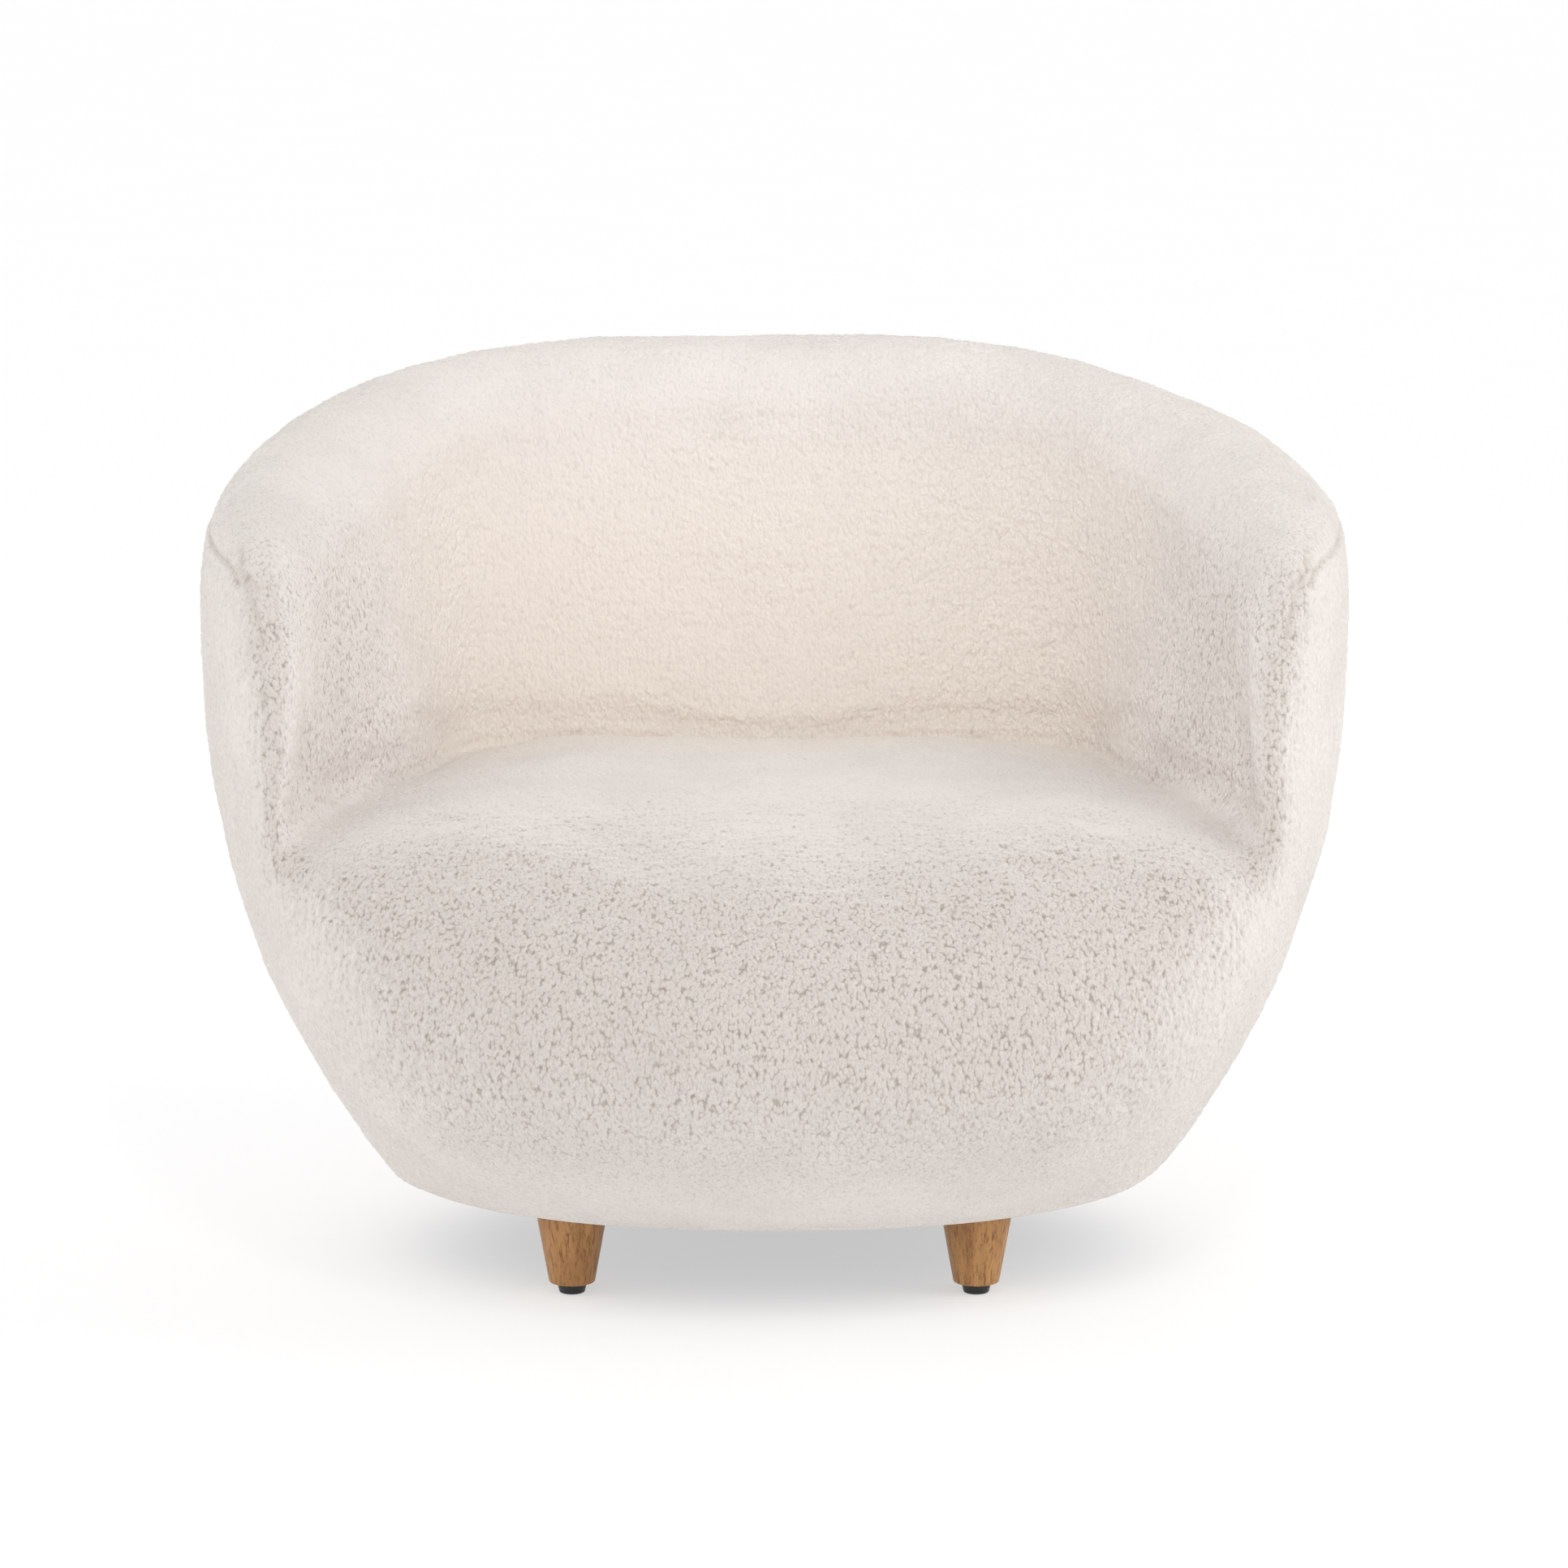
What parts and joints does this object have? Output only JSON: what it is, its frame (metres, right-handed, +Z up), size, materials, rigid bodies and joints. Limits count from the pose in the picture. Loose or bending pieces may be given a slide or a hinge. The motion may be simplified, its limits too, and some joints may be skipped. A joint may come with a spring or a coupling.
{
  "type": "upholstered tub armchair",
  "caption": "Low tub armchair in cream bouclé pile: one wrap-around padded back and arms, a domed seat that rolls over into the front apron, and short tapered round wood legs.",
  "frame": {"origin": "on the floor, under the middle of the chair's overall width and depth", "axes": "+X to the chair's side at the right of a viewer in front of it, and the widest direction; +Y from the front to the back; +Z up"},
  "size_m": [0.856, 0.776, 0.668],
  "materials": {
    "boucle_pile": "long looped pile, cream",
    "leg_wood": "light brown oiled, open pores",
    "glide_black": "satin black",
    "zinc_steel": "bright zinc",
    "plywood": "raw birch plywood",
    "fibre_board": "raw hardboard",
    "felt": "pressed grey felt",
    "foam": "open-cell foam",
    "wadding": "white polyester wadding",
    "dust_cloth": "black non-woven"
  },
  "bodies": {
    "root": {"leg_front_left": "leg_wood", "leg_front_right": "leg_wood", "leg_rear_left": "leg_wood", "leg_rear_right": "leg_wood", "glide_front_left": "glide_black", "glide_front_right": "glide_black", "glide_rear_left": "glide_black", "glide_rear_right": "glide_black", "glide_nails": "zinc_steel", "hanger_bolts": "zinc_steel", "t_nuts": "zinc_steel", "base_board": "plywood", "seat_board": "plywood", "frame_screws": "zinc_steel", "lower_rib_front_left": "plywood", "lower_rib_front_right": "plywood", "lower_rib_side_left": "plywood", "lower_rib_side_right": "plywood", "lower_rib_corner_left": "plywood", "lower_rib_corner_right": "plywood", "lower_rib_back_left": "plywood", "lower_rib_back_right": "plywood", "upper_rib_arm_left": "plywood", "upper_rib_arm_right": "plywood", "upper_rib_side_left": "plywood", "upper_rib_side_right": "plywood", "upper_rib_corner_left": "plywood", "upper_rib_corner_right": "plywood", "upper_rib_back_left": "plywood", "upper_rib_back_right": "plywood", "top_rail": "plywood", "inner_panel": "fibre_board", "outer_panel": "fibre_board", "seat_spring_1": "zinc_steel", "seat_spring_2": "zinc_steel", "seat_spring_3": "zinc_steel", "seat_spring_4": "zinc_steel", "seat_spring_5": "zinc_steel", "spring_clips": "zinc_steel", "tie_wires": "zinc_steel", "spring_pad": "felt", "seat_foam": "foam", "front_foam": "foam", "back_foam": "foam", "arm_foam_left": "foam", "arm_foam_right": "foam", "arm_front_foam_left": "foam", "arm_front_foam_right": "foam", "seat_wadding": "wadding", "inside_wadding": "wadding", "outside_wadding": "wadding", "seat_cover": "boucle_pile", "inside_cover": "boucle_pile", "outside_cover_back": "boucle_pile", "outside_cover_left": "boucle_pile", "outside_cover_right": "boucle_pile", "dust_cover": "dust_cloth", "staples": "zinc_steel"}
  },
  "joints": []
}
